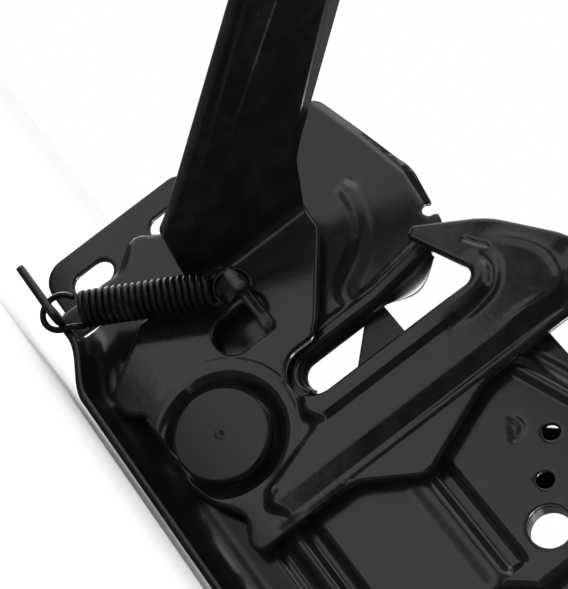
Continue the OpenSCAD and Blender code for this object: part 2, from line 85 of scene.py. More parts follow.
def roundedLoop(corners, arcStep=0.3):
    # each corner x, z, r becomes an arc tangent to its two sides
    c = np.array([tuple(k) + (0,) * (3 - len(k)) for k in corners], float)
    before, after = np.roll(c, 1, axis=0), np.roll(c, -1, axis=0)
    out = []
    for a, b, d in zip(before, c, after):
        if b[2] <= 0:
            out.append(b[None, :2])
            continue
        u = (a[:2] - b[:2]) / np.linalg.norm(a[:2] - b[:2])
        v = (d[:2] - b[:2]) / np.linalg.norm(d[:2] - b[:2])
        half = math.acos(float(np.clip(u @ v, -1, 1))) / 2
        if half > 1.56:
            out.append(b[None, :2])
            continue
        mid = b[:2] + (u + v) / np.linalg.norm(u + v) * b[2] / math.sin(half)
        s, f = b[:2] + u * b[2] / math.tan(half) - mid, b[:2] + v * b[2] / math.tan(half) - mid
        turn = math.atan2(s[0] * f[1] - s[1] * f[0], s @ f)
        ang = math.atan2(s[1], s[0]) + turn * np.linspace(0, 1, max(3, int(abs(turn) * b[2] / arcStep) + 2))
        out.append(mid + b[2] * np.stack([np.cos(ang), np.sin(ang)], 1))
    return np.concatenate(out)


def ringLoop(at, radius, count=72):  # circle of the radius round a point
    ang = np.linspace(0, 2 * math.pi, count, endpoint=False)
    return np.array(at) + radius * np.stack([np.cos(ang), np.sin(ang)], 1)


def smoothLine(points, per=10):
    # cubic blend through the points, each tangent half the step between its neighbours
    p = np.array(points, float)
    q = np.concatenate([2 * p[:1] - p[1:2], p, 2 * p[-1:] - p[-2:-1]])
    t = np.linspace(0, 1, per, endpoint=False)[None, :, None]
    a, b, c, d = (q[i:len(q) - 3 + i, None] for i in range(4))
    square, cube = 2 * a - 5 * b + 4 * c - d, 3 * b - a - 3 * c + d
    body = 0.5 * (2 * b + (c - a) * t + square * t ** 2 + cube * t ** 3)
    return np.concatenate([body.reshape(-1, p.shape[1]), p[-1:]])


def nearestOn(sides, points):
    # foot of the perpendicular on every side, kept between its ends, the closest one wins
    a, b = sides
    ab = b - a
    size = np.maximum((ab * ab).sum(1), 1e-12)
    dist, foot = np.empty(len(points)), np.empty((len(points), 2))
    for part in np.array_split(np.arange(len(points)), len(points) // 4000 + 1):
        p = points[part, None, :]
        t = np.clip(((p - a) * ab).sum(2) / size, 0, 1)
        q = a + t[..., None] * ab
        gap = ((p - q) ** 2).sum(2)
        pick = gap.argmin(1)
        dist[part] = np.sqrt(gap[np.arange(len(part)), pick])
        foot[part] = q[np.arange(len(part)), pick]
    return dist, foot


def lineGap(line, points):  # distance from many points to an open line
    return nearestOn((line[:-1], line[1:]), points)[0]


def loopDepth(loop, points):
    # distance to a closed outline, positive inside by the crossing rule
    a, b = loop, np.roll(loop, -1, axis=0)
    dist, foot = nearestOn((a, b), points)
    inside = np.zeros(len(points), bool)
    rise = np.where(np.abs(b[:, 1] - a[:, 1]) < 1e-12, 1e-12, b[:, 1] - a[:, 1])
    for part in np.array_split(np.arange(len(points)), len(points) // 4000 + 1):
        x, z = points[part, 0, None], points[part, 1, None]
        hit = ((a[:, 1] > z) != (b[:, 1] > z)) & (x < (b[:, 0] - a[:, 0]) * (z - a[:, 1]) / rise + a[:, 0])
        inside[part] = hit.sum(1) % 2 == 1
    return np.where(inside, dist, -dist), foot


def sheetDepth(adds, cuts, points):
    # union of the added outlines less the cut ones, with the closest edge point
    depth, foot = loopDepth(adds[0], points)
    for loop in adds[1:]:
        d, f = loopDepth(loop, points)
        pick = d > depth
        depth, foot = np.where(pick, d, depth), np.where(pick[:, None], f, foot)
    for loop in cuts:
        d, f = loopDepth(loop, points)
        pick = -d < depth
        depth, foot = np.where(pick, -d, depth), np.where(pick[:, None], f, foot)
    return depth, foot


def makeMesh(name, points, faces, marks=None, tidy=False):
    # point and face arrays into a smooth mesh; tidy merges doubles and turns the faces outwards
    faces = np.asarray(faces, np.int32)
    mesh = bpy.data.meshes.new(name)
    mesh.vertices.add(len(points))
    mesh.vertices.foreach_set("co", toRow(points).astype(np.float32).ravel())
    mesh.loops.add(faces.size)
    mesh.loops.foreach_set("vertex_index", faces.ravel())
    mesh.polygons.add(len(faces))
    mesh.polygons.foreach_set("loop_start", np.arange(0, faces.size, faces.shape[1], dtype=np.int32))
    mesh.polygons.foreach_set("use_smooth", np.ones(len(faces), bool))
    for key, values in (marks or {"edge": np.full(len(points), 9.0)}).items():
        layer = mesh.attributes.new(key, "FLOAT", "POINT")
        layer.data.foreach_set("value", np.asarray(values, np.float32))
    mesh.update(calc_edges=True)
    if tidy:
        work = bmesh.new()
        work.from_mesh(mesh)
        bmesh.ops.remove_doubles(work, verts=work.verts, dist=1e-7)
        bmesh.ops.dissolve_degenerate(work, edges=work.edges, dist=1e-7)
        bmesh.ops.recalc_face_normals(work, faces=work.faces)
        work.to_mesh(mesh)
        work.free()
    mesh.validate()
    piece = bpy.data.objects.new(name, mesh)
    bpy.context.scene.collection.objects.link(piece)
    return piece


def pressedSheet(name, adds, cuts, thick, step, roll, place, relief=None):
    # sheet as a grid over its flat outline: front = relief + thick, back = relief, both moved by place;
    # the grid stops one roll short of the outline and a half-round rim profile is carried round its border
    lo = np.min([l.min(0) for l in adds], 0) - step
    hi = np.max([l.max(0) for l in adds], 0) + step
    xs, zs = np.arange(lo[0], hi[0], step), np.arange(lo[1], hi[1], step)
    cellX, cellZ = np.meshgrid(xs[:-1] + step / 2, zs[:-1] + step / 2, indexing="ij")
    middle, _ = sheetDepth(adds, cuts, np.stack([cellX.ravel(), cellZ.ravel()], 1))
    i, j = np.divmod(np.flatnonzero(middle > roll), len(zs) - 1)
    corner = i * len(zs) + j
    ids = np.stack([corner, corner + len(zs), corner + len(zs) + 1, corner + 1], 1)
    used, quads = np.unique(ids, return_inverse=True)
    quads = quads.reshape(-1, 4)
    n = len(used)
    flat = np.stack([xs[used // len(zs)], zs[used % len(zs)]], 1)
    depth, foot = sheetDepth(adds, cuts, flat)
    # border sides are those that no second cell shares
    sides = np.stack([quads, np.roll(quads, -1, axis=1)], 2).reshape(-1, 2)
    sides = sides[~np.isin(sides[:, 0] * n + sides[:, 1], sides[:, 1] * n + sides[:, 0])]
    border, sides = np.unique(sides, return_inverse=True)
    sides = sides.reshape(-1, 2)
    inward = flat[border] - foot[border]
    inward /= np.maximum(np.linalg.norm(inward, axis=1, keepdims=True), 1e-9)
    inward *= np.where(depth[border] < 0, -1, 1)[:, None]
    flat[border] = foot[border] + inward * roll
    depth[border] = roll
    low = relief(flat) if relief else np.zeros(n)
    turn = np.radians([30, 60, 90, 90, 60, 30])
    reach = roll * np.sin(turn)
    lift = np.concatenate([thick - roll + roll * np.cos(turn[:3]), roll - roll * np.cos(turn[3:])])
    rimFlat = flat[border][None] - inward[None] * reach[:, None, None]
    rimLift = low[border][None] + lift[:, None]
    points = np.concatenate([place(flat, low + thick), place(flat, low),
                             place(rimFlat.reshape(-1, 2), rimLift.ravel())])
    between = 2 * n + np.arange(6 * len(border)).reshape(6, -1)
    rings = np.concatenate([border[None], between, n + border[None]])
    a, b = rings[:, sides[:, 0]], rings[:, sides[:, 1]]
    rim = np.stack([b[:-1], a[:-1], a[1:], b[1:]], 2).reshape(-1, 4)
    edge = np.concatenate([depth, depth, np.repeat(roll - reach, len(border))])
    faces = np.concatenate([quads, quads[:, ::-1] + n, rim])
    return makeMesh(name, points, faces, {"edge": np.clip(edge, 0, 9)})


def flatAt(front, thick):  # plain sheet standing in the xz plane
    return lambda p, h: np.stack([p[:, 0], front + thick - h, p[:, 1]], 1)


def turnedPiece(name, profiles, steps=128):
    # closed profile of radius and depth carried round a line along y
    points, faces, start = [], [], 0
    for at, profile in profiles:
        after = np.roll(profile, -1, axis=0) - profile  # long sides get a support point near each end
        size = np.linalg.norm(after, axis=1, keepdims=True)
        lead = np.where(size > 0.5, after * 0.12 / np.maximum(size, 1e-9), 0)
        tail = np.where(size > 0.5, after - lead, 0)
        profile = np.stack([profile, profile + lead, profile + tail], 1).reshape(-1, 2)
        ang = np.linspace(0, 2 * math.pi, steps, endpoint=False)[:, None]
        r, y = np.maximum(profile[None, :, 0], 0), np.repeat(profile[None, :, 1], steps, 0)
        points.append(np.stack([at[0] + r * np.cos(ang), y, at[1] + r * np.sin(ang)], 2).reshape(-1, 3))
        k = len(profile)
        grid = start + np.arange(steps * k).reshape(steps, k)
        nextRow, nextCol = np.roll(grid, -1, axis=0), np.roll(grid, -1, axis=1)
        faces.append(np.stack([grid, nextCol, np.roll(nextRow, -1, axis=1), nextRow], 2).reshape(-1, 4))
        start += steps * k
    return makeMesh(name, np.concatenate(points), np.concatenate(faces), tidy=True)


def wirePiece(name, path, radius, sides=14):
    # round wire: a ring carried along the path in a frame that doesn't twist, with rounded ends
    path = np.asarray(path, float)
    tangent = np.gradient(path, axis=0)
    tangent /= np.linalg.norm(tangent, axis=1, keepdims=True)

    def carry(u, t):
        u = u - (u @ t) * t
        return u / np.linalg.norm(u)
    first = carry(np.array([0.31, 0.82, 0.47]), tangent[0])
    u = np.array(list(accumulate(tangent[1:], carry, initial=first)))
    v = np.cross(tangent, u)
    cap = np.radians([0, 25, 50, 70, 90])
    capA = path[:1] - tangent[:1] * radius * np.cos(cap)[:, None]
    capB = path[-1:] + tangent[-1:] * radius * np.cos(cap[::-1])[:, None]
    line = np.concatenate([capA, path[1:-1], capB])
    size = radius * np.concatenate([np.sin(cap), np.ones(len(path) - 2), np.sin(cap[::-1])])
    grow = np.concatenate([np.zeros(4, int), np.arange(len(path)), np.full(4, len(path) - 1)])
    ang = np.linspace(0, 2 * math.pi, sides, endpoint=False)
    ring = np.cos(ang)[None, :, None] * u[grow][:, None] + np.sin(ang)[None, :, None] * v[grow][:, None]
    points = (line[:, None] + size[:, None, None] * ring).reshape(-1, 3)
    grid = np.arange(len(points)).reshape(-1, sides)
    around = np.roll(grid, -1, axis=1)
    faces = np.stack([grid[:-1], around[:-1], around[1:], grid[1:]], 2).reshape(-1, 4)
    return makeMesh(name, points, faces, tidy=True)


# finishes
class Socket:
    # a socket whose operators add Math nodes
    def __init__(self, finish, out):
        self.finish, self.out = finish, out

    def math(self, operation, other=None, flip=False):
        ends = [self] if other is None else ([other, self] if flip else [self, other])
        return self.finish.add("ShaderNodeMath", {"operation": operation}, dict(enumerate(ends)))

    def __add__(self, other):
        return self.math("ADD", other)

    def __sub__(self, other):
        return self.math("SUBTRACT", other)

    def __rsub__(self, other):
        return self.math("SUBTRACT", other, True)

    def __mul__(self, other):
        return self.math("MULTIPLY", other)

    __radd__, __rmul__ = __add__, __mul__


class Finish:
    # one material: its nodes come from add, and feed links them to the shader
    def __init__(self, name, **fixed):
        self.material = bpy.data.materials.new(name)
        self.material.use_nodes = True
        self.tree = self.material.node_tree
        self.shader = self.tree.nodes["Principled BSDF"]
        for key, value in fixed.items():
            self.shader.inputs[key.replace("_", " ")].default_value = value

    def add(self, kind, settings=None, sockets=None, out=0):
        node = self.tree.nodes.new(kind)
        for key, value in (settings or {}).items():
            setattr(node, key, value)
        for key, value in (sockets or {}).items():
            if isinstance(value, Socket):
                self.tree.links.new(value.out, node.inputs[key])
            else:
                node.inputs[key].default_value = value
        return Socket(self, node.outputs[out])

    def feed(self, **sockets):
        for key, value in sockets.items():
            self.tree.links.new(value.out, self.shader.inputs[key.replace("_", " ")])
        return self

    def noise(self, scale, detail=3.0, rough=0.5, vector=None):
        spot = vector or self.add("ShaderNodeTexCoord", out=3)
        return self.add("ShaderNodeTexNoise", {},
                        {"Vector": spot, "Scale": scale, "Detail": detail, "Roughness": rough})

    def band(self, value, low, high):
        return self.add("ShaderNodeMapRange", {"interpolation_type": "SMOOTHSTEP"},
                        {"Value": value, "From Min": low, "From Max": high, "To Min": 0.0, "To Max": 1.0})

    def blendColour(self, share, first, second):
        return self.add("ShaderNodeMix", {"data_type": "RGBA"}, {"Factor": share, 6: first, 7: second}, out=2)

    def bump(self, height, strength, distance):
        return self.add("ShaderNodeBump", {}, {"Height": height, "Strength": strength, "Distance": distance})


coatLook = {
    "leverTone": (0.0042, 0.0042, 0.0045, 1), "leverRough": 0.12, "leverWear": 1.6,
    "baseTone": (0.0048, 0.0048, 0.005, 1), "baseRough": 0.16, "baseWear": 1.3,
    "clawTone": (0.008, 0.008, 0.0082, 1), "clawRough": 0.34, "clawWear": 1.0,
    "dustTone": (0.03, 0.029, 0.028, 1), "wornTone": (0.11, 0.107, 0.104, 1), "peel": 0.03,
    "leverScuffs": [((-14.7, -14, 21.5), 4.0), ((-14.9, -17, 25.5), 4.0), ((-14.5, -12.5, -12.0), 2.6),
                    ((-26, -26, 25), 4.5)],
}


def blackCoat(name, piece, scuffs=()):
    # dip coat: fine orange peel, cloudy gloss, settled dust and thin bright wear on the edges
    tone, rough, wornWidth = (coatLook[piece + key] for key in ("Tone", "Rough", "Wear"))
    f = Finish(name, Specular_IOR_Level=0.5, IOR=1.5)
    clouds, fine, specks = f.noise(55.0, 3.0), f.noise(900.0, 2.0), f.noise(2600.0, 2.0)
    edge = f.add("ShaderNodeAttribute", {"attribute_name": "edge"}, out=2)
    worn = f.band(fine * 0.35 + clouds * 0.65 - edge * (1.0 / wornWidth), 0.56, 0.68)
    for spot, reach in scuffs:  # rubbed places
        here = f.add("ShaderNodeTexCoord", out=3)
        ends = {0: here, 1: tuple(toRow(spot))}
        far = f.add("ShaderNodeVectorMath", {"operation": "DISTANCE"}, ends, out=1)
        near = f.band(far, reach * 0.001, reach * 0.0004) * f.band(edge, 1.5, 0.5)
        worn = worn + near * f.band(fine, 0.36, 0.52) * 1.6
    dust = f.band(specks, 0.60, 0.80) * 0.30 + f.band(f.noise(130.0, 6.0, 0.65), 0.42, 0.74) * 0.18
    dust = dust + f.band(f.noise(800.0, 1.0), 0.76, 0.84) * 0.5
    colour = f.blendColour(worn * 0.3, f.blendColour(dust, tone, coatLook["dustTone"]), coatLook["wornTone"])
    gloss = rough + clouds * 0.11 + fine * 0.04 - 0.07 + dust * 0.3 + worn * 0.12
    peel = f.bump(fine * 0.8 + specks * 0.5, coatLook["peel"], 0.0005)
    return f.feed(Base_Color=colour, Roughness=gloss, Metallic=worn * 0.3, Normal=peel).material


def turnedCoat(name, at):
    # coat over turned steel: fine rings round the rivet's axis
    f = Finish(name, Specular_IOR_Level=0.5, IOR=1.5)
    spot = f.add("ShaderNodeTexCoord", out=3)
    centre = toRow([at[0], 0, at[1]])
    parts = f.add("ShaderNodeSeparateXYZ", {}, {"Vector": spot})
    x = parts - float(centre[0])
    z = Socket(f, parts.out.node.outputs[2]) - float(centre[2])
    radius = (x * x + z * z).math("SQRT")
    wobble = f.noise(160.0, 2.0)
    rings = (radius * 5200.0 + wobble * 1.6).math("SINE")
    wide = (radius * 1500.0 + wobble * 2.2).math("SINE")
    fine = f.noise(1300.0, 3.0)
    hub = f.band(radius, 0.0026, 0.0008)
    colour = f.blendColour(f.band(fine, 0.5, 0.8) * 0.35, coatLook["leverTone"], (0.02, 0.0195, 0.019, 1))
    gloss = 0.19 + rings * 0.008 + wide * 0.008 + fine * 0.10 + hub * 0.08
    grooves = f.bump(rings * 0.05 + wide * 0.03 + fine * 0.6, 0.02, 0.0004)
    return f.feed(Base_Color=colour, Roughness=gloss, Normal=grooves).material


def platedSteel(name, tone, rough):
    # dull plating: cloudy passivation with rolling streaks
    f = Finish(name, Metallic=0.9)
    spot = f.add("ShaderNodeTexCoord", out=3)
    drawn = f.add("ShaderNodeMapping", {}, {"Vector": spot, "Scale": (1.0, 1.0, 0.12)})
    streak = f.noise(260.0, 3.0, vector=drawn)
    clouds, fine = f.noise(90.0, 4.0), f.noise(1500.0, 2.0)
    dark = tuple(0.55 * c for c in tone[:3]) + (1,)
    colour = f.blendColour(f.band(clouds * 0.6 + streak * 0.4, 0.36, 0.64), dark, tone)
    gloss = rough + streak * 0.12 + fine * 0.08 - 0.08
    grain = f.bump(streak + fine * 0.5, 0.08, 0.0004)
    return f.feed(Base_Color=colour, Roughness=gloss, Normal=grain).material


def springSteel(name):
    # oiled, phosphated wire: dark with drawn lines and a few rubbed places
    f = Finish(name, Specular_IOR_Level=0.26)
    fine, clouds = f.noise(1900.0, 3.0), f.noise(140.0, 3.0)
    rubbed = f.band(clouds * 0.7 + fine * 0.3, 0.56, 0.66)
    colour = f.blendColour(rubbed, (0.0036, 0.0036, 0.004, 1), (0.012, 0.0116, 0.0112, 1))
    gloss = 0.12 + fine * 0.10 + clouds * 0.05
    return f.feed(Base_Color=colour, Roughness=gloss, Metallic=rubbed * 0.15,
                  Normal=f.bump(fine, 0.10, 0.0003)).material


def bushPlastic(name):
    # pale moulded plastic, slightly mottled
    f = Finish(name)
    fine, clouds = f.noise(1200.0, 3.0), f.noise(200.0, 3.0)
    colour = f.blendColour(f.band(clouds, 0.35, 0.7), (0.62, 0.59, 0.5, 1), (0.72, 0.7, 0.62, 1))
    return f.feed(Base_Color=colour, Roughness=0.42 + fine * 0.2, Normal=f.bump(fine, 0.1, 0.0003)).material


leverCoat = blackCoat("lever_coat", "lever", coatLook["leverScuffs"])
baseCoat = blackCoat("base_coat", "base")
plateMetal = platedSteel("plated_steel", (0.30, 0.30, 0.305, 1), 0.42)
clawMetal = blackCoat("claw_coat", "claw")
wireMetal = springSteel("spring_wire")
bushStuff = bushPlastic("bush_plastic")
print("finishes ready")


def settle(piece, body, material, slot, *nodes):
    # gives the piece its finish and its body and hides the solids that it stands for; the slot argument is not
    # used
    piece.data.materials.clear()
    piece.data.materials.append(material)
    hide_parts(*nodes)
    if body:
        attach(piece, body)
    return piece


# levels along y
padFront, padBack, backFront, backRear = -8.0, -6.0, 2.0, 4.0
leverBack, leverThick, baseThick, dishDrop = -11.0, 3.0, 2.0, 2.5
clawFront, clawThick = -2.75, 4.0
clawAt = np.array([30.0, 33.0])
posts = [(-25, 35), (23, -5), (22.8, 70)]
boltAt = (65.3, 47.5)
throatX, throatFoot, throatR = strikerAt[0], 23.3, 5.25  # middle, lower end and half width of the slot

# safety lever: one flat blank, embossed, then folded along the handle's root
lever = {
    "step": 0.47, "roll": 0.75, "foldTurn": math.radians(80), "foldRadius": 4.0, "foldX": -34.90,
    "flatShift": -38.39, "fieldHigh": 2.0, "rimHigh": 1.2, "beadHigh": 0.3,
    "blank": [[-11.4, 65.1, 0.8], [8.5, 73.2, 3.6], [8.5, 20.3, 7], [-6.7, 20.3, 7], [-6.5, 32, 3],
              [-10, 35.6, 6], [-29.5, 50.2, 3], [-38.3, 51, 3], [-53.2, 55.3, 12], [-92.7, 88.9, 8],
              [-117.5, 68.9, 8], [-60.1, 17.8, 5], [-42.5, 16.2, 3], [-39, 12, 2], [-38.6, 0.2, 1.5],
              [-27, -16.6, 4.5], [-21, -16.6, 3.5], [-17.4, -12.8, 2], [-8, -13, 3], [4, -13.7, 8],
              [12, -11.4, 8], [20.6, -6.6, 4], [26, -10.2, 2.4], [29.6, -9.4, 1.6], [29.8, 18, 9],
              [39.8, 33, 6], [29.7, 58, 24], [29.7, 96.4, 9], [14, 95.0, 14], [-2.5, 83.3, 24],
              [-13.4, 67.4, 1.2]],
    "window": [[-25.4, 24.4, 0.8], [-25.4, 12, 5], [-14.7, 12, 5], [-14.7, 24.4, 0.8]],
    "field": [[-30, 100, 0], [-30, 58, 0], [6, 58, 0], [6, 20.5, 0], [12.4, 18.2, 3], [18.0, 0.6, 3],
              [22.4, -2.6, 2.6], [27.1, 1.5, 3], [60, 1.5, 0], [60, 100, 0]],
    "foot": [[27.1, -30, 0], [27.1, 84, 8], [22.5, 92.6, 6], [14, 93.5, 6], [7.7, 90.5, 0], [1.3, 86.3, 0],
             [-6, 79.6, 0], [-20, 64, 0], [-40, 64, 0], [-40, -30, 0]],
    "rim": [[4, 60, 0], [4, 23, 0], [9, 19.6, 2], [12.4, 21.5, 1.5], [12.5, 66, 5], [11.3, 71.6, 3],
            [8, 74.4, 3], [4, 74.2, 0], [-1, 72.5, 0], [-30, 70, 0], [-30, 60, 0]],
    "valley": [[14.0, 58], [13.6, 67], [12.2, 72.4], [8.4, 76], [4.6, 76.6]],
    "crest": [[0.4, 79.4], [5, 83.5], [9.6, 86.7], [14.5, 88.2], [20.3, 87.4], [22.8, 85.0], [23.4, 81.0],
              [22.4, 75], [21.8, 66]],
    "notch": [[-1.5, 75.4], [1.0, 76.7], [3.4, 78.4]],
}
leverField, leverFoot = roundedLoop(lever["field"]), roundedLoop(lever["foot"])
leverRim = roundedLoop(lever["rim"])
handleRun = np.array([0.742, 0.671])  # the handle's direction on the flat blank


def leverRelief(p):
    # height over the flat blank: dish, crease, raised field, border bead, pip, handle bead and curl added up
    x, z = p[:, 0], p[:, 1]
    r = np.hypot(x, z)
    dish = -dishDrop * (1 - ramp(r, 12.5, 16.9))
    angle = np.mod(np.degrees(np.arctan2(z, x)), 360)
    crease = -0.16 * np.exp(-((r - 19.6) / 0.45) ** 2) * ramp(angle, 40, 80) * (1 - ramp(angle, 170, 206))
    # raised field: short wall at its lower end, long crowned slope down to the right
    low, _ = loopDepth(leverField, p)
    side, _ = loopDepth(leverFoot, p)
    fade = np.where(z > 70, ramp(x, -5, 4) * (0.12 + 0.88 * ramp(x, 14, 23)), 1)  # weak over the hook
    slope = np.clip(1 - side / 5.6, 0, 1) ** 1.7 * fade
    field = lever["fieldHigh"] * np.minimum(ramp(low, 0, 2.2), 1 - slope) * (x > -30)
    rim, _ = loopDepth(leverRim, p)
    rise = lever["fieldHigh"] + lever["rimHigh"] * (1 - ramp(z, 58, 69) * (1 - ramp(x, 1, 13)))
    field = field + ramp(rim, -2.2, 0) * (x > -30) * (rise - field)
    # the valley beside the rim fades out at the hook, where a short notch is pressed
    valley = 1 - ramp(lineGap(smoothLine(lever["valley"], 6), p), 0.5, 3.2)
    field = field - 0.55 * valley * ramp(z, 56, 68) * ramp(x, 3.5, 9)
    crest = np.exp(-(lineGap(smoothLine(lever["crest"], 6), p) / 1.2) ** 2)
    field = field + 0.22 * crest * ramp(x, 0, 6) * ramp(z, 66, 76)
    field = field - 0.4 * np.exp(-(lineGap(np.array(lever["notch"]), p) / 0.5) ** 2)
    outer = 0.4 * bell(x, 28.2, 0.35, 0.7) * ramp(z, -3, 6) * (1 - ramp(z, 78, 84))
    pip = 0.5 * np.exp(-(((x - 20.4) / 0.9) ** 2 + ((z - 1.6) / 0.9) ** 2))
    w = lever["flatShift"] - x  # distance from the fold on the handle
    along = w * handleRun[0] + z * handleRun[1]
    aside = -w * handleRun[1] + z * handleRun[0]
    beadHalf = 1.3 + 0.03 * (along - 36)
    bead = lever["beadHigh"] * (1 - ramp(np.abs(aside - 5.2), beadHalf, beadHalf + 2.0))
    bead = bead * ramp(along, 36, 43) * (1 - ramp(along, 93, 98)) * (w > 6)
    bendAt = 26.6 - 0.105 * (along - 58)
    past = np.maximum(aside - bendAt, 0)
    curl = -0.5 * past ** 2 / (past + 1.2) * ramp(along, 42, 56) * (w > 4)
    return dish + crease + field + outer + pip + bead + curl


def leverPlace(p, h):
    # flat blank to bent sheet: past the fold line a point turns about the fold, then runs straight
    x, z = p[:, 0], p[:, 1]
    root = lever["foldX"] - 5.0 * np.clip((26 - z) / 9, 0, 2) ** 2
    mid, rad, turn = leverBack - leverThick / 2, lever["foldRadius"], lever["foldTurn"]
    w = np.maximum(root - x, 0)
    ang = np.minimum(w / rad, turn)
    extra = np.maximum(w - rad * turn, 0)
    out = h - leverThick / 2
    bx = np.minimum(root, x) + w - rad * np.sin(ang) - extra * np.cos(ang) + out * np.sin(ang)
    by = mid - rad + rad * np.cos(ang) - extra * np.sin(ang) - out * np.cos(ang)
    return np.stack([np.where(w > 0, bx, x), by, z], 1)


safetyLever = pressedSheet("safety_lever_sheet", [roundedLoop(lever["blank"])],
                           [roundedLoop(lever["window"]), ringLoop((0, 0), 9.0)],
                           leverThick, lever["step"], lever["roll"], leverPlace, leverRelief)
settle(safetyLever, "lever", leverCoat, "lever_sheet", "safety_lever")

# spring lug: a tongue lanced from the window and bent forward
lug = {"step": 0.42, "roll": 0.6, "rootZ": 27.7, "bend": 2.5,
       "blank": [[-14.9, -3.0, 1], [-14.9, 5.4, 2], [-24.2, 9.2, 2], [-24.2, 11.8, 0.9], [-22.9, 12.9, 0.9],
                 [-23.3, 14.8, 1.2], [-30, 14.8, 1.2], [-30.3, 12.7, 0.9], [-29, 11.8, 0.9], [-29, 8.6, 2],
                 [-25.2, 5.0, 2], [-25.2, -3.0, 1]]}


def lugPlace(p, h):
    # second number runs down the lever, round the bend and out along the tongue
    s = p[:, 1]
    out = (h - leverThick / 2) * (0.75 + 0.25 * ramp(s, -0.5, 1.5))  # thinner where it lies inside the lever
    mid = leverBack - leverThick / 2
    ang = np.clip(s / lug["bend"], 0, math.pi / 2)
    extra = np.maximum(s - lug["bend"] * math.pi / 2, 0)
    y = mid - lug["bend"] + (lug["bend"] - out) * np.cos(ang) - extra
    z = lug["rootZ"] - np.minimum(s, 0) - (lug["bend"] - out) * np.sin(ang)
    return np.stack([p[:, 0], y, z], 1)


leverLug = pressedSheet("safety_lever_lug", [roundedLoop(lug["blank"])[::-1]], [], leverThick, lug["step"],
                        lug["roll"], lugPlace)
settle(leverLug, "lever", leverCoat, "lever_sheet", "safety_lever")
print("safety lever ready")

# base plate: one flat blank with steps, beads, a rolled slot edge and the bottom lip
base = {
    "step": 0.62, "roll": 0.4, "bendZ": -12.0, "bendRadius": 9.5, "lipRun": 18.42, "rise": 6.1,
    "riseFrom": -27.5, "riseTo": -44.5, "flangeDrop": 6.0,
    "leftLine": [[-59.3, -30], [-59.3, -4], [-59.4, 3], [-64.2, 9.4], [-64.2, 13.6], [-60.2, 19.4], [-60, 28],
                 [-62, 38], [-68, 46], [-90, 60]],
    "topLine": [[-66, 72.2], [-48, 75.8], [-31, 78.2], [-22, 77], [-14, 75.6]],
    "sBead": [[-36.5, 62.4], [-30, 61.4], [-24, 58.6], [-19, 53], [-15.4, 47], [-12.6, 45]],
}


def lipRise(x):  # the lip climbs towards the spring tab by a smooth step
    return base["rise"] * ramp(-x, -base["riseFrom"], -base["riseTo"])


lipX = np.linspace(-44.4, -27.5, 14)
lipEdge = [[x, base["bendZ"] + lipRise(x) - base["lipRun"], 0] for x in lipX]
baseBlank = roundedLoop(
    [[-75.5, 30.5, 5], [-75.5, -14.5, 7], [-58.5, -14.5, 1.5], [-56.5, -16.7, 1], [-46.4, -16.7, 0.5],
     [-45.7, -18.6, 1.5], [-50.6, -20.4, 1.2], [-53.2, -23.8, 1], [-53.2, -27.4, 1], [-66, -28.2, 1.5],
     [-66, -31.4, 1.5], [-47, -31.8, 2], [-46.4, -28.2, 0.8], [-47.8, -27.2, 1], [-47.8, -24.9, 0.9]]
    + lipEdge +
    [[71, -30.42, 2.5], [71, -13.4, 0.6], [84, -13.4, 6], [84, 71, 8], [76.4, 71.2, 0.7], [76.4, 77, 5],
     [12, 77, 4], [6.6, 72.2, 1.5], [5.8, 69.6, 0], [5.8, 90, 0], [-8.6, 90, 0], [-8.6, 69.4, 2],
     [-13, 75.4, 2], [-31, 79, 14], [-65, 72, 4], [-62.4, 41, 2]])
throatLoop = roundedLoop([[throatX - throatR, throatFoot, throatR], [throatX + throatR, throatFoot, throatR],
                          [throatX + throatR, 56, 8], [5.8, 70, 4], [9, 95, 0], [-13, 95, 0], [-8.6, 69, 4],
                          [throatX - throatR, 52, 8]])
slotLoops = [roundedLoop([[-68.5, z - 6, 3.49], [-61.5, z - 6, 3.49], [-61.5, z + 6, 3.49],
                          [-68.5, z + 6, 3.49]]) for z in (-3, 22)]
leftZ, leftX = smoothLine(np.array(base["leftLine"]), 8).T[::-1]


